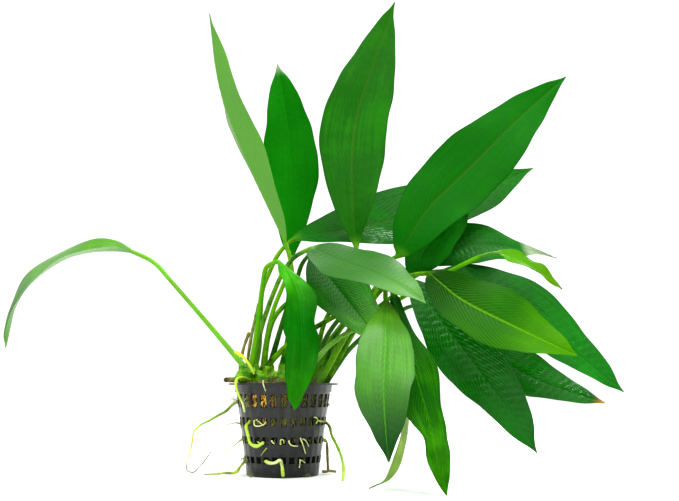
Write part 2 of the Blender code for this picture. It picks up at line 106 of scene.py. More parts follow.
def soft_box(name, place, size, power):
    """A square area light that looks at the plant."""
    data = bpy.data.lights.new(name, "AREA")
    data.shape = "SQUARE"
    data.size = size
    data.energy = power
    box = bpy.data.objects.new(name, data)
    box.location = place
    box.rotation_euler = (LIGHT_TARGET - Vector(place)).to_track_quat("-Z", "Y").to_euler()
    bpy.context.scene.collection.objects.link(box)
    return box


world = bpy.data.worlds.new("studio")
world.use_nodes = True
world.node_tree.nodes["Background"].inputs["Color"].default_value = (1, 1, 1, 1)
world.node_tree.nodes["Background"].inputs["Strength"].default_value = WORLD_STRENGTH
bpy.context.scene.world = world
bpy.context.scene.view_settings.view_transform = "Standard"
bpy.context.scene.view_settings.look = "Medium High Contrast"

soft_box("box_above_front", (-0.10, -0.50, 0.88), 0.8, 7.0)
soft_box("box_behind", (0.25, 0.75, 0.45), 0.5, 4.0)
soft_box("box_overhead", (0.16, 0.06, 0.90), 0.18, 3.6)
soft_box("box_front_right", (0.48, -0.62, 0.80), 0.16, 1.6)
soft_box("box_overhead_right", (0.34, -0.16, 0.90), 0.18, 3.0)

floor_mesh = bmesh.new()
bmesh.ops.create_grid(floor_mesh, x_segments=1, y_segments=1, size=FLOOR_SIZE / 2)
floor_data = bpy.data.meshes.new("paper_sweep")
floor_mesh.to_mesh(floor_data)
floor_mesh.free()
floor = bpy.data.objects.new("paper_sweep", floor_data)
bpy.context.scene.collection.objects.link(floor)
paper = bpy.data.materials.new("white_paper")
paper.use_nodes = True
paper.node_tree.nodes["Principled BSDF"].inputs["Base Color"].default_value = (0.84, 0.85, 0.84, 1)
paper.node_tree.nodes["Principled BSDF"].inputs["Roughness"].default_value = 0.9
paper.node_tree.nodes["Principled BSDF"].inputs["Specular IOR Level"].default_value = 0.0
floor_data.materials.append(paper)
floor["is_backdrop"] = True
print("floor", FLOOR_SIZE, "m")

# %% [markdown]
# Every material below is a small graph of nodes. Writing each node by hand takes
# three lines, so one helper makes a node, sets its values and plugs in its links.
# A socket gets either a number, a colour or the output of an earlier node.

# %% Node helpers
class Graph:
    """The node tree of one material, with short calls for the usual nodes."""

    def __init__(self, name):
        self.material = bpy.data.materials.new(name)
        self.material.use_nodes = True
        self.tree = self.material.node_tree
        self.shader = self.tree.nodes["Principled BSDF"]

    def feed(self, socket, value):
        """Plug an output into a socket, or set its number or colour."""
        if isinstance(value, bpy.types.NodeSocket):
            self.tree.links.new(value, socket)
        elif isinstance(value, (tuple, list)) and len(value) == 3 and socket.type == "RGBA":
            socket.default_value = (*value, 1.0)
        else:
            socket.default_value = value

    def sum(self, operation, *values):
        """A Math node."""
        node = self.tree.nodes.new("ShaderNodeMath")
        node.operation = operation
        for socket, value in zip(node.inputs, values):
            self.feed(socket, value)
        return node.outputs[0]

    def ramp(self, value, low, high, first=0.0, last=1.0):
        """A smooth step of a value from low to high."""
        node = self.tree.nodes.new("ShaderNodeMapRange")
        node.interpolation_type = "SMOOTHSTEP"
        for socket, number in zip(node.inputs, (value, low, high, first, last)):
            self.feed(socket, number)
        return node.outputs[0]

    def mix(self, share, first, second):
        """A colour between two colours."""
        node = self.tree.nodes.new("ShaderNodeMix")
        node.data_type = "RGBA"
        self.feed(node.inputs["Factor"], share)
        self.feed(node.inputs[6], first)
        self.feed(node.inputs[7], second)
        return node.outputs[2]

    def mix_number(self, share, first, second):
        """A number between two numbers."""
        rise = self.sum("SUBTRACT", second, first)
        return self.sum("ADD", first, self.sum("MULTIPLY", rise, share))

    def noise(self, vector, scale, detail=2.0, roughness=0.5, stretch=None):
        """Cloudy noise from 0 to 1, stretched by a Mapping node when asked."""
        if stretch:
            mapping = self.tree.nodes.new("ShaderNodeMapping")
            self.feed(mapping.inputs["Vector"], vector)
            mapping.inputs["Scale"].default_value = stretch
            vector = mapping.outputs[0]
        node = self.tree.nodes.new("ShaderNodeTexNoise")
        self.feed(node.inputs["Vector"], vector)
        node.inputs["Scale"].default_value = scale
        node.inputs["Detail"].default_value = detail
        node.inputs["Roughness"].default_value = roughness
        return node.outputs["Fac"]

    def place(self):
        """The point on the piece, in metres."""
        return self.tree.nodes.new("ShaderNodeTexCoord").outputs["Object"]

    def read(self, name):
        """The three numbers of an attribute, and the whole of it."""
        node = self.tree.nodes.new("ShaderNodeAttribute")
        node.attribute_name = name
        parts = self.tree.nodes.new("ShaderNodeSeparateXYZ")
        self.tree.links.new(node.outputs["Vector"], parts.inputs[0])
        return (*parts.outputs, node.outputs["Vector"])

    def bump(self, height, strength, distance):
        """A bump from a height, plugged into the shader."""
        node = self.tree.nodes.new("ShaderNodeBump")
        node.inputs["Strength"].default_value = strength
        node.inputs["Distance"].default_value = distance
        self.feed(node.inputs["Height"], height)
        self.tree.links.new(node.outputs[0], self.shader.inputs["Normal"])

    def finish(self, colour, roughness, specular=0.5):
        """Plug colour and roughness into the shader and give the material."""
        self.feed(self.shader.inputs["Base Color"], colour)
        self.feed(self.shader.inputs["Roughness"], roughness)
        self.shader.inputs["Specular IOR Level"].default_value = specular
        return self.material


# %% [markdown]
# A packed leaf or root is a chain of rings of corners, from its foot to its tip.
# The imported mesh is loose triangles, so it is merged first. A ring's neighbours
# are then one step away along edges, and the way its faces were cut tells which
# corner is the first, so the rings come back in the order they were made in.

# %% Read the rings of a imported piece
MERGE = 1e-6
LEAF_SIDES = 8
ROOT_SIDES = 6
RIM_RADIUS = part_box("pot")[1].x


def start_corner(vert):
    """How far a corner is from the pot's axis, to find a root's first ring."""
    return math.hypot(vert.co.x, vert.co.y)


def foot_corner(vert):
    """The height of a corner above the pot, to find a leaf's first ring."""
    over_pot = math.hypot(vert.co.x, vert.co.y) < RIM_RADIUS
    return vert.co.z if over_pot else math.inf


def ring_chain(body, sides, first_key):
    """The corners next to each corner, and the chain of rings from the first one on."""
    near = {vert: {edge.other_vert(vert) for edge in vert.link_edges} for vert in body.verts}
    ring = set(sorted(body.verts, key=first_key)[:sides])
    seen = set()
    chain = []
    while ring:
        chain.append(ring)
        seen |= ring
        ring = set().union(*(near[vert] for vert in ring)) - seen
    return near, chain


def merged_body(node):
    """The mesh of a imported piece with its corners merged."""
    body = bmesh.new()
    body.from_mesh(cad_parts[node].data)
    bmesh.ops.remove_doubles(body, verts=body.verts, dist=MERGE)
    return body


def packed_rings(node, sides, first_key):
    """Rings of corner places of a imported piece, an array of ring, corner and xyz."""
    body = merged_body(node)
    near, chain = ring_chain(body, sides, first_key)
    lower, upper = chain[0], chain[1]
    first = next(vert for vert in upper if len(near[vert] & lower) == 1)
    ordered = [first]
    step = sorted(near[first] & upper, key=lambda vert: vert.index)[0]
    while step:
        ordered.append(step)
        step = next((vert for vert in near[step] & upper if vert not in ordered), None)
    middle = sum((vert.co for vert in upper), Vector()) / sides
    forward = middle - sum((vert.co for vert in lower), Vector()) / sides
    turn = (ordered[0].co - middle).cross(ordered[1].co - middle)
    if turn.dot(forward) > 0:
        ordered = ordered[:1] + ordered[:0:-1]
    half = sides // 2
    partner = {}
    for order in (range(half), range(sides - 1, half, -1)):
        for corner in order:
            options = [vert for vert in near[ordered[corner]] & lower if vert not in partner.values()]
            partner[corner] = options[0]
    partner[half] = next(vert for vert in lower if vert not in partner.values())
    rings = [[partner[corner] for corner in range(sides)], ordered]
    for ring in chain[2:]:
        lower = rings[-1]
        following = [None] * sides
        for vert in ring:
            touched = {corner for corner in range(sides) if lower[corner] in near[vert]}
            if len(touched) == 3:
                following[half] = vert
            elif len(touched) == 1:
                following[0] = vert
            else:
                corner = max(touched) if max(touched) < half else min(touched)
                if touched == {0, sides - 1}:
                    corner = sides - 1
                following[corner] = vert
        rings.append(following)
    places = np.array([[tuple(vert.co) for vert in ring] for ring in rings])
    body.free()
    return places


def smooth_rows(rows, shares):
    """Places between the rows of an array, along a smooth curve through them."""
    last = len(rows) - 1
    padded = np.concatenate([[2 * rows[0] - rows[1]], rows, [2 * rows[-1] - rows[-2]]])
    shares = np.clip(np.asarray(shares, float), 0, last)
    span = np.minimum(shares.astype(int), last - 1)
    t = (shares - span).reshape(-1, *([1] * (rows.ndim - 1)))
    before, start, end, after = (padded[span + step] for step in range(4))
    return 0.5 * (2 * start + (end - before) * t
                  + (2 * before - 5 * start + 4 * end - after) * t ** 2
                  + (3 * start - before - 3 * end + after) * t ** 3)


def smooth_around(ring, shares):
    """The same around a closed ring whose corners are the array's second axis."""
    count = ring.shape[1]
    shares = np.asarray(shares, float)
    span = np.floor(shares).astype(int)
    t = (shares - span)[None, :, None]
    before, start, end, after = (ring[:, (span + step) % count] for step in (-1, 0, 1, 2))
    return 0.5 * (2 * start + (end - before) * t
                  + (2 * before - 5 * start + 4 * end - after) * t ** 2
                  + (3 * start - before - 3 * end + after) * t ** 3)


rings = packed_rings("leaf_centre_upright", LEAF_SIDES, foot_corner)
print("rings of a leaf", rings.shape)

# %% [markdown]
# A leaf is one skin: a round stalk that flattens into the blade. It could be two
# pieces pushed into each other, but the change from stalk to midrib is what one
# sees in a real leaf, so the skin is one flat grid, rolled up around the leaf. Its
# rows run along the leaf and its columns around it, and its long edges are merged.
# Each point keeps where it is on the leaf, because the colours follow the blade.

# %% Roll a grid into a skin
def rolled_skin(name, places, marks, mark_name, sharp=60.0):
    """Wrap a grid over an array of row, column and place, and close its ends."""
    rows, columns = places.shape[:2]
    body = bmesh.new()
    bmesh.ops.create_grid(body, x_segments=columns, y_segments=rows - 1, size=1)
    layer = body.verts.layers.float_vector.new(mark_name)
    for vert in body.verts:
        column = round((vert.co.x + 1) / 2 * columns) % columns
        row = round((vert.co.y + 1) / 2 * (rows - 1))
        vert.co = places[row, column]
        vert[layer] = marks[row, column]
    bmesh.ops.remove_doubles(body, verts=body.verts, dist=MERGE)
    ends = [edge for edge in body.edges if edge.is_boundary]
    bmesh.ops.edgeloop_fill(body, edges=ends)
    bmesh.ops.recalc_face_normals(body, faces=body.faces)
    return finished(name, body, sharp)


def finished(name, body, sharp=60.0):
    """Turn a bmesh into a smooth-shaded object at the origin."""
    mesh = bpy.data.meshes.new(name)
    body.to_mesh(mesh)
    body.free()
    mesh.shade_smooth()
    mesh.set_sharp_from_angle(angle=math.radians(sharp))
    item = bpy.data.objects.new(name, mesh)
    bpy.context.scene.collection.objects.link(item)
    return item


def dress(item, material, slot, *nodes):
    """Give a piece its finish, hang it under the root body, and hide the imported pieces it stands for."""
    item.data.materials.append(material)
    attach(item, "root")
    if nodes:
        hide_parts(*nodes)
    return item


# %% [markdown]
# On the real blade the midrib is a shallow channel above and a ridge below, and
# the side veins leave it at a flat angle and bend towards the tip, with the flesh
# swelling a little between them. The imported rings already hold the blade's route,
# width, fold and waves, so only this relief is added to the finer skin.

# %% Shape of a fine leaf
STALK_RINGS = 7
STALK_STEPS = 36
BLADE_STEPS = 130
QUARTER_STEPS = 11
VEIN_COUNT = 27
VEIN_SWEEP = 0.34
VEIN_BEND = 1.25
VEIN_HEIGHT = 0.09 * MM
RIB_CHANNEL = 0.30 * MM
RIB_WIDTH = 0.7 * MM
WOBBLE = 1.0 * MM
FLUTTER = 1.2 * MM


def column_shares():
    """Places around a ring in corners, closer together at midrib and margins."""
    quarter = [1 - math.cos(math.pi * step / QUARTER_STEPS) for step in range(QUARTER_STEPS)]
    return np.array([start + share for start in (0, 2, 4, 6) for share in quarter])


def margin_change(along, side, nicks, seed):
    """How much wider one half of the blade is, in metres, at each row."""
    draw = random.Random(seed + side)
    change = np.zeros(len(along))
    for count in (2.3, 4.1, 7.3):
        start = draw.uniform(0, math.tau)
        change += WOBBLE / count * np.sin(math.tau * count * along + start)
    for nick_side, share, depth, reach in nicks:
        if nick_side == side:
            change += depth * MM * np.exp(-((along - share) / reach) ** 2)
    return change


def fine_leaf(node, seed, ripple=0.7, flutter=0.8, nicks=()):
    """Places and marks of a leaf's skin. A mark is across, along and upper side."""
    rings = packed_rings(node, LEAF_SIDES, foot_corner)
    last = len(rings) - 1
    rows = np.concatenate([
        np.linspace(0, STALK_RINGS, STALK_STEPS, endpoint=False),
        np.linspace(STALK_RINGS, last, BLADE_STEPS),
    ])
    columns = column_shares()
    net = smooth_rows(rings, rows)
    skin = smooth_around(net, columns)
    across_corner = np.array([1, 0.5, 0, -0.5, -1, -0.5, 0, 0.5]).reshape(1, -1, 1)
    across = smooth_around(across_corner, columns)[0, :, 0]
    upper = np.where(columns < 4, 1.0, 0.0)
    middle = net.mean(axis=1)
    steps = np.linalg.norm(np.diff(middle, axis=0), axis=1)
    length = np.concatenate([[0], np.cumsum(steps)])
    base = length[STALK_STEPS]
    along = (length - base) / (length[-1] - base)
    along = np.where(along < 0, (length - base) / base, along)
    top = net[:, 2] - net[:, 6]
    top /= np.linalg.norm(top, axis=1, keepdims=True)
    right = (net[:, 0] - net[:, 4]) / 2
    half = np.linalg.norm(right, axis=1)
    blade = np.clip(along / 0.08, 0, 1) * np.clip((1 - along) / 0.06, 0, 1)
    outward = np.abs(across)
    distance = outward[None, :] * half[:, None]
    channel = -RIB_CHANNEL * np.exp(-(distance / RIB_WIDTH) ** 2) * upper[None, :]
    swept = VEIN_SWEEP * outward[None, :] ** VEIN_BEND
    phase = VEIN_COUNT * (along[:, None] - swept)
    open_flesh = np.clip(distance / (2 * MM), 0, 1) * np.clip((1 - outward) / 0.15, 0, 1)[None, :]
    veins = VEIN_HEIGHT * ripple * np.cos(math.tau * phase) * open_flesh
    lift = channel + veins
    widen = np.zeros(lift.shape)
    draw = random.Random(seed)
    for side in (1, -1):
        on_side = np.clip(across * side, 0, 1)
        count, start = draw.uniform(1.6, 2.8), draw.uniform(0, math.tau)
        wave = np.sin(math.tau * count * along + start)
        lift += FLUTTER * flutter * wave[:, None] * on_side[None, :] ** 2
        widen += margin_change(along, side, nicks, seed)[:, None] * on_side[None, :] * side
    outward_way = right / half[:, None]
    skin = skin + (lift * blade[:, None])[:, :, None] * top[:, None, :]
    skin = skin + (widen * blade[:, None])[:, :, None] * outward_way[:, None, :]
    marks = np.zeros(skin.shape)
    marks[:, :, 0] = across[None, :]
    marks[:, :, 1] = along[:, None]
    marks[:, :, 2] = upper[None, :]
    return skin, marks


# %% [markdown]
# A leaf's colour is a dark and a light green clouded together along the blade,
# with a paler midrib, faint side veins, a thin dark margin, and a stalk that is
# yellower than the blade. All of it reads the marks on the skin, so the pattern
# bends with the leaf. Each leaf has its own greens, because the old ones are dark
# and bluish and the young ones lime. On some leaves a pale, milky stretch of the greens is a painted sheen.

# %% Leaf finish
UNDERSIDE = (0.075, 0.22, 0.035)
WET_ROUGHNESS = 0.1


def leaf_finish(name, greens, rib, stalk, vein=0.4, gloss=0.38, specular=0.1, tip=None, tip_start=0.9,
                wet=0.0, wet_side=0, wet_span=(-0.5, 1.5), cloud_share=0.25):
    """Material of one leaf. The greens are those at the blade's base, middle and end."""
    graph = Graph(name)
    across, along, upper, marks = graph.read("blade_map")
    place = graph.place()
    side = graph.sum("ABSOLUTE", across)
    base, middle, end = greens
    flesh = graph.mix(graph.ramp(along, 0.05, 0.5), base, middle)
    flesh = graph.mix(graph.ramp(along, 0.5, 0.92), flesh, end)
    cloud = graph.noise(place, 45, 3, 0.6)
    streak = graph.noise(marks, 5, 2, 0.5, stretch=(2.5, 0.7, 0))
    blend = graph.sum("ADD", graph.sum("MULTIPLY", cloud, 0.6), graph.sum("MULTIPLY", streak, 0.4))
    flesh = graph.mix(graph.ramp(blend, 0.65, 0.4, 0.0, cloud_share * 2), flesh, DEEP)
    swept = graph.sum("MULTIPLY", graph.sum("POWER", side, VEIN_BEND), VEIN_SWEEP * VEIN_COUNT)
    phase = graph.sum("SUBTRACT", graph.sum("MULTIPLY", along, VEIN_COUNT), swept)
    wobble = graph.sum("MULTIPLY", graph.noise(place, 30, 2, 0.5), 1.5)
    turn = graph.sum("MULTIPLY", graph.sum("ADD", phase, wobble), math.tau)
    wave = graph.sum("COSINE", turn)
    fine_wave = graph.sum("COSINE", graph.sum("MULTIPLY", turn, 3.0))
    clear = graph.ramp(graph.noise(place, 38, 2, 0.5), 0.35, 0.62, 0.25, 1.0)
    line = graph.sum("MULTIPLY", graph.ramp(wave, -1.0, -0.3, 1.0, 0.0), clear)
    hollow = graph.sum("MULTIPLY", graph.ramp(wave, 0.2, 1.0, 0.0, 1.0), clear)
    flesh = graph.mix(graph.sum("MULTIPLY", hollow, 0.35 * vein), flesh, DEEP)
    flesh = graph.mix(graph.sum("MULTIPLY", line, 0.4 * vein), flesh, rib)
    flesh = graph.mix(graph.ramp(fine_wave, -1.0, 1.0, 0.1 * vein, 0.0), flesh, DEEP)
    edge = graph.ramp(side, 0.94, 1.0)
    flesh = graph.mix(graph.sum("MULTIPLY", edge, 0.6), flesh, DEEP)
    rib_line = graph.ramp(side, 0.01, 0.06, 0.5, 0.0)
    flesh = graph.mix(rib_line, flesh, rib)
    below = graph.mix(graph.ramp(wave, -1.0, 1.0, 0.25, 0.0), UNDERSIDE, PALE_RIB)
    below = graph.mix(rib_line, below, PALE_RIB)
    flesh = graph.mix(graph.ramp(upper, 0.6, 0.3), flesh, below)
    if tip:
        flesh = graph.mix(graph.ramp(along, tip_start, tip_start + 0.07), flesh, tip)
    stem = graph.mix(graph.ramp(graph.noise(place, 90, 3, 0.6), 0.4, 0.7), stalk, base)
    colour = graph.mix(graph.ramp(along, -0.02, 0.06), stem, flesh)
    fine = graph.noise(place, 900, 2, 0.6)
    pucker = graph.noise(marks, 8, 2, 0.5, stretch=(3, 6, 0))
    height = graph.sum("ADD", graph.sum("MULTIPLY", wave, 0.4 * vein),
                       graph.sum("MULTIPLY", fine, 0.05 if wet else 0.2))
    height = graph.sum("ADD", height, graph.sum("MULTIPLY", fine_wave, 0.07 * vein))
    height = graph.sum("ADD", height, graph.sum("MULTIPLY", pucker, wet))
    graph.bump(height, 0.4, 0.2 * MM)
    rough = graph.sum("ADD", graph.ramp(cloud, 0.3, 0.7, 0.0, 0.12), gloss - 0.05)
    if wet:
        film = graph.ramp(graph.noise(place, 50, 3, 0.55), 0.46, 0.54)
        film = graph.sum("MULTIPLY", film, graph.ramp(upper, 0.3, 0.6))
        film = graph.sum("MULTIPLY", film, graph.ramp(wave, -0.6, 0.1, 0.25, 1.0))
        first, last = wet_span
        film = graph.sum("MULTIPLY", film, graph.ramp(along, first, first + 0.12))
        film = graph.sum("MULTIPLY", film, graph.ramp(along, last - 0.12, last, 1.0, 0.0))
        if wet_side:
            toward = graph.sum("MULTIPLY", across, wet_side)
            film = graph.sum("MULTIPLY", film, graph.ramp(toward, -0.05, 0.2))
        rough = graph.mix_number(film, rough, WET_ROUGHNESS)
    return graph.finish(colour, rough, specular)


DEEP = (0.0005, 0.045, 0.0008)
OLIVE = (0.032, 0.085, 0.003)
PALE_RIB = (0.13, 0.28, 0.04)
STALK_GREEN = (0.10, 0.27, 0.004)
STALK_DARK = (0.03, 0.12, 0.004)
# grey tip colour, partly a painted sheen of a glossy tip
GREY_TIP_AND_SHEEN = (0.20, 0.27, 0.16)
TIP_BROWN = (0.38, 0.16, 0.03)


def green(strength, warmth=0.02, milk_and_sheen=0.01):
    """A leaf green: how light it is, how far it leans to yellow, and how milky it is; on some leaves the milk is a
    painted sheen.
    """
    return (strength * (warmth + milk_and_sheen), strength, strength * milk_and_sheen)


LEAF_LOOKS = {
    # painted sheen: the milky grey-green middle of this blade is partly a painted sheen.
    "leaf_arching_left": dict(greens=(green(0.34, 0.3), green(0.28, 0.25, 0.1), green(0.12, 0.1)), rib=OLIVE,
                              stalk=STALK_GREEN, specular=0.25),
    "leaf_tall_left": dict(greens=(green(0.14), green(0.14), green(0.14)), rib=PALE_RIB, stalk=STALK_GREEN,
                           vein=0.6),
    "leaf_upright_left": dict(greens=(green(0.17), green(0.15), green(0.13)), rib=green(0.15),
                              stalk=STALK_GREEN, vein=0.15, tip=GREY_TIP_AND_SHEEN, tip_start=0.93, specular=0.02, cloud_share=0.1),
    "leaf_over_pot": dict(greens=(green(0.28, 0.15), green(0.14), green(0.17, 0.1)), rib=green(0.14),
                          stalk=STALK_GREEN, vein=0.1, specular=0.04),
    "leaf_centre_upright": dict(greens=(green(0.09, 0.08), green(0.12, 0.08), green(0.11, 0.1)), rib=OLIVE,
                                stalk=STALK_GREEN, specular=0.05),
    "leaf_right_upright": dict(greens=(green(0.10), green(0.10), green(0.11)), rib=OLIVE, stalk=STALK_GREEN,
                               specular=0.04, cloud_share=0.12),
    "leaf_behind_broad": dict(greens=(green(0.12), green(0.12), green(0.12)), rib=OLIVE, stalk=STALK_GREEN,
                              vein=1.0, gloss=0.65, specular=0.07, wet=0.7, wet_side=1,
                              wet_span=(0.1, 0.62)),
    # painted sheen: the lighter, milky end of this blade is partly a painted sheen.
    "leaf_centre_level": dict(greens=(green(0.08, 0.12, 0.03), green(0.10, 0.13, 0.03), green(0.19, 0.2, 0.1)),
                              rib=green(0.12, 0.15, 0.05), stalk=STALK_GREEN, vein=0.2, gloss=0.45,
                              specular=0.2, cloud_share=0.1),
    # painted sheen: the pale, milky end of this blade is a painted sheen.
    "leaf_centre_drooping": dict(greens=(green(0.04), green(0.15, 0.1, 0.02), green(0.42, 0.2, 0.12)),
                                 rib=green(0.08), stalk=STALK_DARK, vein=0.7, specular=0.06),
    # painted sheen: the pale, milky foot and middle of this blade are partly a painted sheen, and its dark end is
    # where that sheen stops.
    "leaf_front_hanging": dict(greens=(green(0.24, 0.28, 0.05), green(0.19, 0.22, 0.04), green(0.03, 0.03, 0)),
                               rib=green(0.2, 0.2), stalk=STALK_GREEN, vein=0.35, gloss=0.42, specular=0.11,
                               cloud_share=0.2),
    "leaf_front_wavy": dict(greens=(green(0.02, 0.02, 0), green(0.11, 0.13), green(0.26, 0.2)), rib=green(0.17, 0.2),
                            stalk=STALK_GREEN, vein=0.9, specular=0.015, cloud_share=0.4),
    "leaf_front_curled": dict(greens=(green(0.35, 0.3, 0.1), green(0.58, 0.45, 0.25), green(0.5, 0.45, 0.15)),
                              rib=PALE_RIB, stalk=STALK_GREEN, vein=0.6, specular=0.4),
    "leaf_right_low_dark": dict(greens=(green(0.10), green(0.13), green(0.12)), rib=green(0.09),
                                stalk=STALK_DARK, vein=1.3, gloss=0.5, specular=0.14, wet=0.8,
                                wet_span=(0.1, 0.8)),
    "leaf_right_low_back": dict(greens=(green(0.13), green(0.15), green(0.17)), rib=green(0.07),
                                stalk=STALK_DARK, tip=TIP_BROWN, vein=0.8, gloss=0.5, specular=0.16, tip_start=0.93,
                                wet=0.8),
    "leaf_right_bright": dict(greens=(green(0.025, 0.03, 0), green(0.09, 0.14, 0), green(0.2, 0.27, 0)), rib=green(0.26, 0.4, 0.02),
                              stalk=STALK_GREEN, specular=0.02, cloud_share=0.15),
    "leaf_right_outer": dict(greens=(green(0.08), green(0.12), green(0.16)), rib=green(0.07),
                             stalk=STALK_GREEN, vein=0.8, gloss=0.6, specular=0.12, wet=0.8, wet_span=(0.5, 1.2)),
    # painted sheen: the grey last third of this blade is partly a painted sheen.
    "leaf_back_arching": dict(greens=(green(0.13), green(0.15), green(0.13)), rib=green(0.10),
                              stalk=STALK_GREEN, tip=GREY_TIP_AND_SHEEN, tip_start=0.7, gloss=0.6, specular=0.08,
                              vein=1.0, wet=0.7, wet_side=1, wet_span=(0.05, 0.7)),
    "leaf_young_lime": dict(greens=(green(0.2, 0.25, 0), green(0.19, 0.3, 0), green(0.17, 0.4, 0)),
                            rib=green(0.28, 0.3), stalk=green(0.25, 0.3), vein=0.2, tip=OLIVE, tip_start=0.95,
                            specular=0.02, cloud_share=0.1),
    "leaf_behind_hidden": dict(greens=(green(0.17), green(0.17), green(0.17)), rib=green(0.12),
                               stalk=STALK_GREEN),
}
LEAF_RELIEF = {
    "leaf_tall_left": dict(nicks=((1, 0.66, -2.2, 0.025), (1, 0.58, 0.8, 0.04))),
    "leaf_behind_broad": dict(ripple=3.0),
    "leaf_back_arching": dict(ripple=3.0),
    "leaf_right_low_dark": dict(ripple=2.8),
    "leaf_right_low_back": dict(ripple=2.8),
    "leaf_right_outer": dict(ripple=2.4),
    "leaf_over_pot": dict(flutter=2.2, nicks=((-1, 0.46, -2.4, 0.07), (1, 0.6, -1.6, 0.06), (1, 0.4, 1.0, 0.08))),
    "leaf_front_wavy": dict(flutter=2.6, nicks=((1, 0.42, -2.4, 0.06), (1, 0.6, 2.2, 0.06), (1, 0.78, -0.8, 0.04),
                                                (1, 0.88, 1.6, 0.05), (-1, 0.5, 1.6, 0.07))),
}

for seed, (node, look) in enumerate(LEAF_LOOKS.items()):
    skin, marks = fine_leaf(node, seed, **LEAF_RELIEF.get(node, {}))
    piece = rolled_skin(node.replace("leaf_", "blade_"), skin, marks, "blade_map")
    slot = "leaf_lime" if node == "leaf_young_lime" else "leaf_green"
    dress(piece, leaf_finish(node + "_skin", **look), slot, node)
print("leaves", len(LEAF_LOOKS))

# %% [markdown]
# Stem, roots and fibres share one simple finish: two colours clouded together over
# a fine bump. The wool's finish is felted, and in the lower half of the pot it is
# painted nearly black, a painted shade where hardly any light gets in through the slots.

# %% Finishes of stem, roots and wool
def plain_growth(name, first, second, scale, rough, specular=0.4):
    """Root, stem or sheath: two colours clouded together over a fine bump."""
    graph = Graph(name)
    place = graph.place()
    cloud = graph.noise(place, scale, 3, 0.6)
    colour = graph.mix(graph.ramp(cloud, 0.35, 0.65), first, second)
    graph.bump(graph.noise(place, scale * 6, 2, 0.6), 0.4, 0.15 * MM)
    return graph.finish(colour, rough, specular)


def wool_finish_with_painted_shade():
    """Olive-brown felted wool, painted nearly black low in the pot as painted shade."""
    graph = Graph("wool_fibres")
    place = graph.place()
    felt = graph.noise(place, 700, 4, 0.7)
    patch = graph.noise(place, 120, 3, 0.6)
    colour = graph.mix(graph.ramp(felt, 0.35, 0.65), (0.035, 0.03, 0.01), (0.16, 0.15, 0.05))
    colour = graph.mix(graph.ramp(patch, 0.5, 0.7), colour, (0.06, 0.10, 0.02))
    split = graph.tree.nodes.new("ShaderNodeSeparateXYZ")
    graph.feed(split.inputs[0], place)
    # painted shade: below 19 to 24 mm the wool is painted nearly black, where little light reaches inside the pot.
    colour = graph.mix(graph.ramp(split.outputs["Z"], 0.024, 0.019, 0.0, 0.93), colour, (0.004, 0.004, 0.003))
    graph.bump(felt, 0.8, 0.4 * MM)
    return graph.finish(colour, 0.9, 0.2)


RIM_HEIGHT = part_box("pot")[1].z
print("rim at", round(RIM_HEIGHT / MM, 1), "mm")

# %% [markdown]
# Roots and shoots are round all along, so one helper lays a slightly knobbly tube
# along a route and rounds off its tip. The centres and sizes of a packed root's rings
# give its route. Each point keeps its share of the length, because a living root
# changes colour on its way: green in the light, yellow and grey where it is old.

# %% Round growth along a route
GROWTH_SIDES = 12
GROWTH_STEP = 0.45 * MM
KNOB_ROWS = 4
CARRY_START = (0.31, 0.27, 0.91)


def packed_route(node, sides, first_key):
    """Centres and radii of a packed root or shoot, from its first ring on."""
    body = merged_body(node)
    near, chain = ring_chain(body, sides, first_key)
    rings = [np.array([tuple(vert.co) for vert in ring]) for ring in chain]
    body.free()
    centres = np.array([ring.mean(axis=0) for ring in rings])
    radii = [np.linalg.norm(ring - centre, axis=1).mean() for ring, centre in zip(rings, centres)]
    print(node, [len(ring) for ring in rings])
    return centres, np.array(radii)


def across_route(route):
    """Two directions across a route at each of its points, carried without twist."""
    ways = np.gradient(route, axis=0)
    ways /= np.linalg.norm(ways, axis=1, keepdims=True)
    side = np.cross(ways[0], CARRY_START)
    sides = []
    for way in ways:
        side = side - way * side.dot(way)
        side = side / np.linalg.norm(side)
        sides.append(side)
    sides = np.array(sides)
    return sides, np.cross(ways, sides)


def round_growth(name, centres, radii, seed, knobs=0.09):
    """A tube along a smooth route. A mark is the share of the length, three times."""
    fine = smooth_rows(centres, np.linspace(0, len(centres) - 1, 10 * len(centres)))
    steps = np.linalg.norm(np.diff(fine, axis=0), axis=1)
    length = np.concatenate([[0], np.cumsum(steps)])
    count = max(8, int(length[-1] / GROWTH_STEP))
    even = np.linspace(0, length[-1], count)
    shares = np.interp(even, length, np.linspace(0, len(centres) - 1, len(fine)))
    route = smooth_rows(centres, shares)
    draw = np.random.default_rng(seed)
    bumps = draw.normal(0, knobs, (count // KNOB_ROWS + 2, 1))
    sizes = smooth_rows(radii[:, None], shares)[:, 0]
    sizes = sizes * (1 + smooth_rows(bumps, np.linspace(0, len(bumps) - 1, count))[:, 0])
    from_tip = np.clip((length[-1] - even) / sizes, 0, 1)
    sizes = sizes * np.sqrt(np.clip(1 - (1 - from_tip) ** 2, 0.1, 1))
    sides, tops = across_route(route)
    turns = np.arange(GROWTH_SIDES) * math.tau / GROWTH_SIDES
    around = sides[:, None] * np.cos(turns)[None, :, None] + tops[:, None] * np.sin(turns)[None, :, None]
    places = route[:, None] + around * sizes[:, None, None]
    marks = np.repeat(even[:, None] / length[-1], GROWTH_SIDES, axis=1)[:, :, None].repeat(3, axis=2)
    return rolled_skin(name, places, marks, "growth_map")


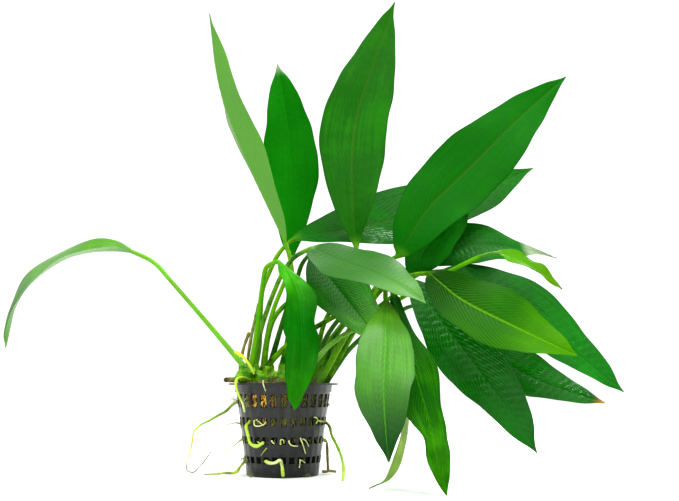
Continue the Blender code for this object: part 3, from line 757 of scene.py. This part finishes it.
def growth_finish(name, stops, dark, rough=0.5, specular=0.3):
    """Skin that takes the colours of the stops along the growth, with darker flecks."""
    graph = Graph(name)
    along = graph.read("growth_map")[0]
    place = graph.place()
    share = graph.sum("ADD", along, graph.ramp(graph.noise(place, 160, 3, 0.6), 0.2, 0.8, -0.04, 0.04))
    colour = stops[0][1]
    for (start, first), (end, second) in zip(stops, stops[1:]):
        colour = graph.mix(graph.ramp(share, start, end), colour, second)
    fleck = graph.noise(place, 420, 3, 0.65)
    colour = graph.mix(graph.ramp(fleck, 0.48, 0.72, 0.0, 0.7), colour, dark)
    graph.bump(graph.noise(place, 1500, 3, 0.6), 0.35, 0.1 * MM)
    return graph.finish(colour, rough, specular)


LEAF_YELLOW = (0.36, 0.50, 0.03)
ROOT_LIGHT = (0.40, 0.58, 0.06)
ROOT_PALE = (0.58, 0.66, 0.30)
ROOT_OLIVE = (0.12, 0.19, 0.02)
ROOT_GREEN = (0.20, 0.36, 0.02)
ROOT_TAN = (0.50, 0.36, 0.06)
ROOT_GREY = (0.22, 0.25, 0.18)
DEAD_BROWN = (0.17, 0.12, 0.025)
DEAD_OLIVE = (0.17, 0.17, 0.03)
DEAD_DARK = (0.04, 0.025, 0.008)

ROOT_LOOKS = {
    "root_over_rim": dict(stops=((0, ROOT_GREEN), (0.3, LEAF_YELLOW), (0.6, ROOT_LIGHT), (0.95, ROOT_PALE)),
                          dark=ROOT_GREEN),
    "root_left_loop": dict(stops=((0, ROOT_LIGHT), (0.1, ROOT_OLIVE), (0.33, ROOT_GREEN), (0.42, ROOT_LIGHT),
                                  (0.5, ROOT_TAN), (0.62, ROOT_PALE), (0.72, ROOT_GREY), (1, ROOT_GREY)),
                           dark=ROOT_OLIVE),
    "root_left_low": dict(stops=((0, ROOT_GREEN), (0.4, LEAF_YELLOW), (0.5, ROOT_OLIVE), (0.7, LEAF_YELLOW),
                                 (1, ROOT_GREY)), dark=ROOT_OLIVE),
    "root_front_left": dict(stops=((0, LEAF_YELLOW), (1, ROOT_LIGHT)), dark=ROOT_GREEN),
    "root_front_low": dict(stops=((0, LEAF_YELLOW), (0.5, ROOT_PALE), (1, LEAF_YELLOW)), dark=ROOT_OLIVE),
    "root_right_long": dict(stops=((0, ROOT_OLIVE), (0.5, ROOT_GREEN), (1, ROOT_LIGHT)), dark=ROOT_GREEN),
    "root_right_brown": dict(stops=((0, LEAF_YELLOW), (0.3, DEAD_OLIVE), (1, DEAD_BROWN)), dark=DEAD_DARK),
    "old_stem_stub": dict(stops=((0, ROOT_GREEN), (0.35, DEAD_OLIVE), (0.6, DEAD_BROWN), (0.8, DEAD_DARK)),
                          dark=DEAD_DARK, rough=0.8),
    "old_stalk_tall": dict(stops=((0, DEAD_BROWN), (0.3, DEAD_OLIVE), (1, ROOT_OLIVE)), dark=DEAD_DARK),
    "old_stalk_short": dict(stops=((0, DEAD_BROWN), (1, DEAD_OLIVE)), dark=DEAD_DARK),
    "young_sheath": dict(stops=((0, LEAF_YELLOW), (1, (0.55, 0.62, 0.03))), dark=ROOT_GREEN),
}


def lowest_corner(vert):
    """The height of a corner, to find the first ring of an upright shoot."""
    return vert.co.z


for seed, (node, look) in enumerate(ROOT_LOOKS.items()):
    upright = node.startswith(("old_stalk", "young"))
    centres, radii = packed_route(node, ROOT_SIDES, lowest_corner if upright else start_corner)
    piece = round_growth(node + "_skin", centres, radii, seed)
    slot = "sheath_yellow" if node.startswith("young") else "root_green"
    slot = "dead_plant" if node.startswith("old") or node == "root_right_brown" else slot
    dress(piece, growth_finish(node + "_look", **look), slot, node)
print("roots and shoots", len(ROOT_LOOKS))

# %% [markdown]
# Fine roots, root hairs and wool fibres are far too many for single tubes. Each is a
# thin line of points in one curve with a round bevel, turned into a mesh at the end.
# A few that catch the eye have their own route. The rest are scattered: hairs in
# tufts where the roots leave the pot, and golden rootlets behind the top slots.

# %% Fine roots and hairs
FINE_ROOTS = {
    "pale": [
        [(-11.4, -17.7, 17.4), (-9.7, -18.9, 16.7), (-8.2, -19.3, 16.4)],
        [(-4.4, -20.6, 18.4), (-3.7, -20.9, 17.3), (-2.8, -20.8, 16.8)],
        [(0.1, -20.7, 16.5), (0.2, -21.4, 18.5), (1.5, -21.3, 18.7), (1.8, -20.8, 17)],
        [(4.3, -20.5, 18.4), (4.4, -20.9, 17.3), (5.7, -20.9, 16), (8.6, -19.9, 15.6)],
        [(9.7, -18.9, 19.6), (11.1, -18.5, 16.1), (12.3, -17.3, 11.9)],
        [(10.8, -18.2, 19.1), (12.5, -17.6, 18), (13.9, -16.2, 15.2)],
        [(9.7, -17.2, 9), (9.6, -17.6, 7.3), (9.3, -17.6, 4.9)],
        [(9.8, -17, 8.2), (10.6, -17.3, 8.5), (12.2, -15.8, 7.1)],
        [(-13.3, -17.9, 28.1), (-13.1, -18.6, 25.8), (-11.2, -19.9, 25.3), (-8.4, -21, 26.1), (-7.2, -21, 27.4)],
        [(-12.1, -18.8, 28.5), (-10.2, -20.5, 27.1), (-8.7, -20.9, 25.9)],
        [(-8.5, -24, 47.6), (-8.3, -27.9, 47.1), (-8, -28.5, 45.5), (-7.1, -26.6, 42.6)],
    ],
    "green": [
        [(-20.6, -5, 18.1), (-23.6, -5, 15.8), (-27.1, -5, 13.1), (-31.2, -5, 9.7)],
        [(16.3, -15.8, 29.6), (17.7, -15.6, 29.2), (18.9, -13.4, 27.6), (21, -9.2, 26.7)],
        [(17.4, -14.1, 26.4), (18.6, -14, 27.8), (22.3, -8.3, 27.1)],
        [(-6.7, -19.8, 14.7), (-8.2, -19.4, 13), (-9.7, -18.4, 10.9)],
    ],
    "faint": [
        [(-21.1, -4, 25.6), (-24.2, -4, 26.2), (-28.3, -4, 25.5), (-32.6, -4, 23.4), (-36.1, -4, 22)],
    ],
    "brown": [
        [(20.3, 2, 1.5), (22, 1.8, 1.3), (24, 1.7, 1.7), (27.4, 2, 1.3)],
    ],
}
FINE_SIZES = {"pale": (0.4, 0.24), "green": (0.42, 0.2), "faint": (0.3, 0.15), "brown": (0.75, 0.6)}
TUFTS = (
    # root of the tuft, the way it points, how many hairs, their length
    ((-22.6, -4, 36.6), (-1, -0.1, 0.45), 12, 6.5),
    ((-21.3, -6, 26.4), (-0.5, -0.3, -1), 16, 7.0),
    ((-19.8, -7, 19.4), (-0.4, -0.3, -1), 16, 7.0),
    ((-18.0, -8, 9.0), (-0.6, -0.4, -1), 26, 6.0),
    ((-19.4, -7, 8.4), (-1, -0.2, 0.1), 8, 4.5),
    ((-19.5, -17.6, 37.5), (0.3, -0.6, 0.7), 20, 4.5),
    ((-18.0, -15.5, 36.5), (0.2, -0.6, -0.8), 16, 4.5),
    ((-12.0, -18.5, 27.5), (0.4, -0.8, 0.2), 14, 3.5),
    ((21.6, -5, 27.5), (-0.6, -0.5, 0.4), 14, 4.5),
    ((20.4, 1.8, 16.8), (0.3, -0.5, -1), 10, 4.0),
    ((19.4, -3, 7.6), (1, -0.3, 0.2), 8, 3.0),
    ((-14.4, -13.8, 1.0), (-0.2, -1, 0.2), 26, 2.4),
    ((13.2, -14.0, 1.0), (0.2, -1, 0.2), 24, 2.2),
    ((-7.0, -27.0, 46.8), (0.2, -1, 0.1), 6, 2.5),
)
STRAND_POINTS = 6
HAIR_SIZE = 0.11 * MM


def strand_mesh(name, routes, sizes, resolution=1):
    """Round strands along routes in metres, thinning from the first size to the last."""
    curve = bpy.data.curves.new(name + "_lines", "CURVE")
    curve.dimensions = "3D"
    curve.bevel_depth = 1.0
    curve.bevel_resolution = resolution
    curve.use_fill_caps = True
    for route, (first, last) in zip(routes, sizes):
        spline = curve.splines.new("POLY")
        spline.points.add(len(route) - 1)
        for share, point, place in zip(np.linspace(0, 1, len(route)), spline.points, route):
            point.co = (*place, 1)
            point.radius = first + (last - first) * share
    holder = bpy.data.objects.new(name + "_lines", curve)
    bpy.context.scene.collection.objects.link(holder)
    drawn = bpy.data.meshes.new_from_object(holder.evaluated_get(bpy.context.evaluated_depsgraph_get()))
    body = bmesh.new()
    body.from_mesh(drawn)
    bpy.data.objects.remove(holder)
    bpy.data.curves.remove(curve)
    bpy.data.meshes.remove(drawn)
    bmesh.ops.remove_doubles(body, verts=body.verts, dist=MERGE)
    bmesh.ops.recalc_face_normals(body, faces=body.faces)
    return finished(name, body)


def wander(start, way, length, draw, bend=0.5):
    """A route in metres that starts along a way and bends off at random."""
    place = Vector(start)
    heading = Vector(way).normalized()
    route = [tuple(place)]
    for _ in range(STRAND_POINTS - 1):
        turn = Vector([draw.gauss(0, bend) for _ in range(3)])
        heading = (heading + turn).normalized()
        place = place + heading * length / (STRAND_POINTS - 1)
        route.append(tuple(place))
    return route


FINE_FINISH = {
    "pale": plain_growth("pale_root_look", (0.60, 0.62, 0.28), (0.36, 0.42, 0.12), 260, 0.6),
    "green": plain_growth("green_root_look", (0.22, 0.30, 0.04), (0.36, 0.48, 0.10), 260, 0.6),
    "faint": plain_growth("faint_root_look", (0.16, 0.20, 0.07), (0.30, 0.34, 0.16), 260, 0.7),
    "brown": plain_growth("brown_root_look", (0.24, 0.19, 0.05), (0.10, 0.08, 0.02), 260, 0.8),
}
for tint, routes in FINE_ROOTS.items():
    smooth = [smooth_rows(np.array(route) * MM, np.linspace(0, len(route) - 1, 24)) for route in routes]
    first, last = FINE_SIZES[tint]
    piece = strand_mesh("fine_roots_" + tint, smooth, [(first * MM, last * MM)] * len(routes), 2)
    dress(piece, FINE_FINISH[tint], "dead_plant" if tint == "brown" else "root_green")

draw = random.Random(11)
hairs = []
for start, way, count, length in TUFTS:
    for _ in range(count):
        spread = Vector([draw.gauss(0, 0.45) for _ in range(3)])
        place = Vector(start) * MM + Vector([draw.gauss(0, 0.7 * MM) for _ in range(3)])
        hair = wander(place, Vector(way).normalized() + spread, length * MM * draw.uniform(0.5, 1.1), draw, 0.25)
        hairs.append([(x, y, max(z, 0.2 * MM)) for x, y, z in hair])
piece = strand_mesh("root_hairs", hairs, [(HAIR_SIZE, 0.4 * HAIR_SIZE)] * len(hairs), 0)
dress(piece, FINE_FINISH["faint"], "root_green")
print("fine roots", sum(len(routes) for routes in FINE_ROOTS.values()), "hairs", len(hairs))

# %% [markdown]
# The slots show what grows behind them. At the top left golden rootlets press
# against the wall, further right they are brown, and the lower rows are dark and
# nearly empty. Rootlets are strewn only in the gaps between the bars, close under
# the wall, because nobody sees the others.

# %% Rootlets behind the slots
SLOT_PITCH = math.tau / 28
SLOT_MIDDLE = 0.34
WALL_FOOT = 18.4 * MM
WALL_TAPER = 5.8 / 41.8
ROOTLET_ROWS = (
    # lowest and highest end, first and last slot, how many in a slot, tint
    (34.8, 40.8, 17, 18, 26, "tan"),
    (34.8, 40.8, 18, 20, 24, "gold"),
    (34.8, 40.8, 20, 22, 18, "rust"),
    (34.8, 40.8, 22, 28, 16, "olive"),
    (34.8, 40.8, 14, 17, 12, "tan"),
    (25.4, 29.2, 18, 20, 12, "tan"),
    (25.4, 29.2, 20, 27, 12, "olive"),
    (16.4, 19.6, 16, 27, 4, "olive"),
    (34.8, 40.8, 0, 14, 12, "olive"),
    (25.4, 29.2, 0, 18, 8, "olive"),
)
ROOTLET_TINTS = {
    "tan": plain_growth("tan_rootlet_look", (0.30, 0.19, 0.05), (0.08, 0.04, 0.012), 300, 0.6),
    "gold": plain_growth("gold_rootlet_look", (0.66, 0.38, 0.05), (0.24, 0.12, 0.02), 300, 0.5),
    "rust": plain_growth("rust_rootlet_look", (0.20, 0.08, 0.02), (0.12, 0.12, 0.03), 300, 0.7),
    "olive": plain_growth("olive_rootlet_look", (0.15, 0.13, 0.035), (0.04, 0.05, 0.012), 300, 0.7),
}
for tint, material in ROOTLET_TINTS.items():
    routes = []
    for low, high, first, last, count, row_tint in ROOTLET_ROWS:
        if row_tint != tint:
            continue
        for slot_number in range(first, last):
            for _ in range(count):
                turn = (slot_number + SLOT_MIDDLE + draw.uniform(-0.26, 0.26)) * SLOT_PITCH
                height = draw.uniform(low + 0.6, high - 0.6) * MM
                radius = WALL_FOOT + WALL_TAPER * height - draw.uniform(0.1, 1.0) * MM
                start = (radius * math.cos(turn), radius * math.sin(turn), height)
                along_wall = draw.uniform(-0.45, 0.45)
                way = (-math.sin(turn) * along_wall, math.cos(turn) * along_wall, draw.choice((-1, 1)))
                route = wander(start, way, draw.uniform(1.5, 3.2) * MM, draw, 0.18)
                routes.append([(x, y, min(max(z, low * MM), high * MM)) for x, y, z in route])
    piece = strand_mesh("rootlets_" + tint, routes, [(draw.uniform(0.14, 0.34) * MM, 0.12 * MM) for _ in routes])
    dress(piece, material, "root_green")
    print("rootlets", tint, len(routes))

# %% [markdown]
# The pot is moulded plastic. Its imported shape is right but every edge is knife
# sharp, which no mould can make, so its edges are broken with a small bevel that
# catches the light. Faint ribs at the bars and fine steps on the collar are so
# shallow that a bump of the surface is enough. The plastic has a satin sheen.

# %% Net pot
EDGE_BREAK = 0.14 * MM
SLOTS_AROUND = 28
COLLAR_FOOT = 41.8 * MM
COLLAR_STEP = 1.1 * MM


def fine_pot():
    """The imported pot, merged and with its sharp edges broken."""
    body = bmesh.new()
    body.from_mesh(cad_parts["pot"].data)
    bmesh.ops.remove_doubles(body, verts=body.verts, dist=MERGE)
    bmesh.ops.dissolve_limit(body, angle_limit=math.radians(0.5), verts=body.verts, edges=body.edges)
    sharp = [edge for edge in body.edges if edge.calc_face_angle(0) > math.radians(30)]
    bmesh.ops.bevel(body, geom=sharp, offset=EDGE_BREAK, segments=2, profile=0.5, affect="EDGES",
                    material=-1, clamp_overlap=True)
    bmesh.ops.recalc_face_normals(body, faces=body.faces)
    return finished("net_pot", body, 35)


def pot_finish():
    """Black-grey satin plastic with ribs, collar steps, light scuffs, and a painted shade at its foot."""
    graph = Graph("net_pot_plastic")
    place = graph.place()
    split = graph.tree.nodes.new("ShaderNodeSeparateXYZ")
    graph.feed(split.inputs[0], place)
    x, y, z = split.outputs
    scuff = graph.noise(place, 220, 4, 0.7)
    grain = graph.noise(place, 2500, 1, 0.5)
    streak = graph.noise(place, 60, 3, 0.6, stretch=(1, 1, 0.15))
    colour = graph.mix(graph.ramp(scuff, 0.45, 0.8), (0.004, 0.005, 0.005), (0.024, 0.027, 0.026))
    colour = graph.mix(graph.ramp(streak, 0.5, 0.75, 0.0, 0.6), colour, (0.06, 0.063, 0.058))
    # painted shade: the lowest 1.5 mm of the pot is painted nearly black where it stands on the floor.
    colour = graph.mix(graph.ramp(z, 0.0015, 0.0, 0.0, 0.8), colour, (0.004, 0.004, 0.004))
    turn = graph.sum("ARCTAN2", y, x)
    rib = graph.sum("COSINE", graph.sum("MULTIPLY", turn, SLOTS_AROUND))
    steps = graph.sum("SINE", graph.sum("MULTIPLY", z, math.tau / COLLAR_STEP))
    steps = graph.sum("MULTIPLY", steps, graph.ramp(z, COLLAR_FOOT, COLLAR_FOOT + 0.2 * MM))
    height = graph.sum("ADD", graph.sum("MULTIPLY", rib, 0.5), graph.sum("MULTIPLY", steps, 0.6))
    height = graph.sum("ADD", height, graph.sum("MULTIPLY", grain, 0.3))
    graph.bump(height, 0.5, 0.1 * MM)
    graph.shader.inputs["Sheen Weight"].default_value = 0.3
    graph.shader.inputs["Sheen Roughness"].default_value = 0.4
    return graph.finish(colour, graph.ramp(scuff, 0.2, 0.9, 0.36, 0.52), 0.4)


dress(fine_pot(), pot_finish(), "pot_plastic", "pot")
print("pot edges broken by", EDGE_BREAK / MM, "mm")

# %% [markdown]
# The creeping stem is a chain of swellings from which the leaf stalks rise in
# short sheaths. Balls and tapered pegs that overlap are the quickest way to sketch
# it. A voxel remesh then fuses them into one skin, and a little noise in the skin
# takes away the look of balls. The wool between the stems is made the same way.

# %% Creeping stem and planting wool
STEM_SIDES = 10
STEM_VOXEL = 0.4 * MM
WOOL_VOXEL = 0.6 * MM
SHEATH_TOP = 1.95 * MM
SHEATH_FOOT = 2.7 * MM
SHEATH_RISE = 2.2 * MM
LUMP_WAVES = 0.004


def fused(name, body, voxel, roughen):
    """Fuse overlapping bodies into one roughened skin."""
    rough_mesh = bpy.data.meshes.new(name + "_sketch")
    body.to_mesh(rough_mesh)
    body.free()
    sketch = bpy.data.objects.new(name + "_sketch", rough_mesh)
    bpy.context.scene.collection.objects.link(sketch)
    remesh = sketch.modifiers.new("fuse", "REMESH")
    remesh.mode = "VOXEL"
    remesh.voxel_size = voxel
    smooth = sketch.modifiers.new("smooth", "SMOOTH")
    smooth.iterations = 4
    clouds = bpy.data.textures.new(name + "_clouds", "CLOUDS")
    clouds.noise_scale = LUMP_WAVES
    lumps = sketch.modifiers.new("lumps", "DISPLACE")
    lumps.texture = clouds
    lumps.strength = roughen
    drawn = bpy.data.meshes.new_from_object(sketch.evaluated_get(bpy.context.evaluated_depsgraph_get()))
    fine = bmesh.new()
    fine.from_mesh(drawn)
    bpy.data.objects.remove(sketch)
    bpy.data.meshes.remove(drawn)
    bmesh.ops.recalc_face_normals(fine, faces=fine.faces)
    return finished(name, fine, 80)


def ball(body, place, radius, squash=1.0):
    """A ball, flattened when asked."""
    made = bmesh.ops.create_icosphere(body, subdivisions=3, radius=radius)
    bmesh.ops.scale(body, vec=(1, 1, squash), verts=made["verts"])
    bmesh.ops.translate(body, vec=place, verts=made["verts"])


def peg(body, foot, top, foot_radius, top_radius):
    """A tapered peg from one place to another."""
    way = top - foot
    turn = way.to_track_quat("Z", "Y").to_matrix().to_4x4()
    middle = Matrix.Translation((foot + top) / 2)
    bmesh.ops.create_cone(body, cap_ends=True, segments=16, radius1=foot_radius, radius2=top_radius,
                          depth=way.length, matrix=middle @ turn)


def leftmost(vert):
    """How far right a corner is, to find the first ring of a creeping stem."""
    return vert.co.x


stalks = []
for node in LEAF_LOOKS:
    centres, radii = packed_route(node, LEAF_SIDES, foot_corner)
    stalks.append((Vector(centres[0]), (Vector(centres[1]) - Vector(centres[0])).normalized()))
shoots = {"old_stalk_tall": 0.7, "old_stalk_short": 0.7, "young_sheath": 0.9}
for stem, front in (("stem_front", True), ("stem_back", False)):
    centres, radii = packed_route(stem, STEM_SIDES, leftmost)
    fine = np.linspace(0, len(centres) - 1, 16)
    route, sizes = smooth_rows(centres, fine), smooth_rows(radii[:, None], fine)[:, 0]
    body = bmesh.new()
    for place, size in zip(route, sizes):
        ball(body, Vector(place) + Vector([draw.gauss(0, 0.5 * MM) for _ in range(3)]),
             size * draw.uniform(0.75, 0.95))
    for foot, way in stalks:
        near = Vector(route[np.linalg.norm(route[:, :2] - np.array(foot)[:2], axis=1).argmin()])
        gap = foot.z > RIM_HEIGHT + 2 * MM and (foot.y < -1.5 * MM) == front
        if gap:
            peg(body, near.lerp(foot, 0.15), foot + way * SHEATH_RISE, SHEATH_FOOT, SHEATH_TOP)
    if front:
        for node, share in shoots.items():
            centres, radii = packed_route(node, ROOT_SIDES, lowest_corner)
            foot = Vector(centres[0])
            near = Vector(route[np.linalg.norm(route[:, :2] - np.array(foot)[:2], axis=1).argmin()])
            way = (Vector(centres[1]) - foot).normalized()
            peg(body, near, foot + way * SHEATH_RISE, SHEATH_FOOT * share, SHEATH_TOP * share)
    piece = fused(stem + "_skin", body, STEM_VOXEL, 0.5 * MM)
    dress(piece, plain_growth(stem + "_look", (0.025, 0.15, 0.003), (0.20, 0.44, 0.008), 130, 0.4, 0.15),
          "stem_green", stem)
    print(stem, len(piece.data.polygons), "faces")

WOOL_LUMPS = (
    # place and radius in millimetres
    (-15, -12, 45.2, 4.5), (-9, -16, 45.4, 4.5), (-2, -17, 45.5, 5), (5, -17, 45.3, 4.5),
    (11, -14, 45, 4.5), (17, -9, 44.8, 4), (20, 0, 44.8, 3.5), (17, 8, 44.8, 4), (8, 16, 45, 4.5),
    (-3, 17, 45, 4.5), (-13, 12, 45, 4.5), (-20, 2, 45, 3), (0, 0, 45.6, 6), (9, 2, 45.4, 6),
)
body = bmesh.new()
for x, y, z, radius in WOOL_LUMPS:
    ball(body, Vector((x, y, z)) * MM, radius * MM, 0.55)
wool_with_painted_shade = wool_finish_with_painted_shade()
piece = fused("wool_on_top", body, WOOL_VOXEL, 1.6 * MM)
dress(piece, wool_with_painted_shade, "planting_wool")
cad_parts["growing_medium"].data.materials.clear()
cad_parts["growing_medium"].data.materials.append(wool_with_painted_shade)

fibres = {"olive": [], "tan": [], "moss": []}
for _ in range(1500):
    turn, reach = draw.uniform(0, math.tau), 24 * MM * math.sqrt(draw.random())
    height = (49.6 - 3.4 * (reach / (24 * MM)) ** 2 + draw.gauss(-1, 0.9)) * MM
    start = (reach * math.cos(turn), reach * math.sin(turn), height)
    way = (math.cos(turn + 1.6), math.sin(turn + 1.6), draw.gauss(0, 0.35))
    route = wander(start, [part + draw.gauss(0, 0.7) for part in way], draw.uniform(2, 6) * MM, draw, 0.45)
    inside = [(x, y, max(z, 43.5 * MM)) for x, y, z in route if math.hypot(x, y) < 24.6 * MM]
    if len(inside) > 2:
        fibres[draw.choice(("olive", "olive", "tan", "moss"))].append(inside)
FIBRE_LOOKS = {
    "olive": plain_growth("olive_fibre_look", (0.22, 0.22, 0.06), (0.07, 0.08, 0.015), 300, 0.8),
    "tan": plain_growth("tan_fibre_look", (0.50, 0.45, 0.20), (0.22, 0.16, 0.05), 300, 0.8),
    "moss": plain_growth("moss_fibre_look", (0.10, 0.24, 0.02), (0.03, 0.09, 0.008), 300, 0.7),
}
for tint, routes in fibres.items():
    piece = strand_mesh("wool_fibres_" + tint, routes, [(0.13 * MM, 0.07 * MM)] * len(routes), 0)
    dress(piece, FIBRE_LOOKS[tint], "planting_wool")
print("fibres", sum(len(routes) for routes in fibres.values()))

# %% [markdown]
# Both boxes, the imported plant's and the dressed plant's, are kept as lists of their corners.
# The dressed plant has to stay inside the box of the imported one.

# %% Sizes and finish
sizes = {
    "cad": [list(corner) for corner in CAD_BOX],
    "visual": [list(corner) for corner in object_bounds()],
}
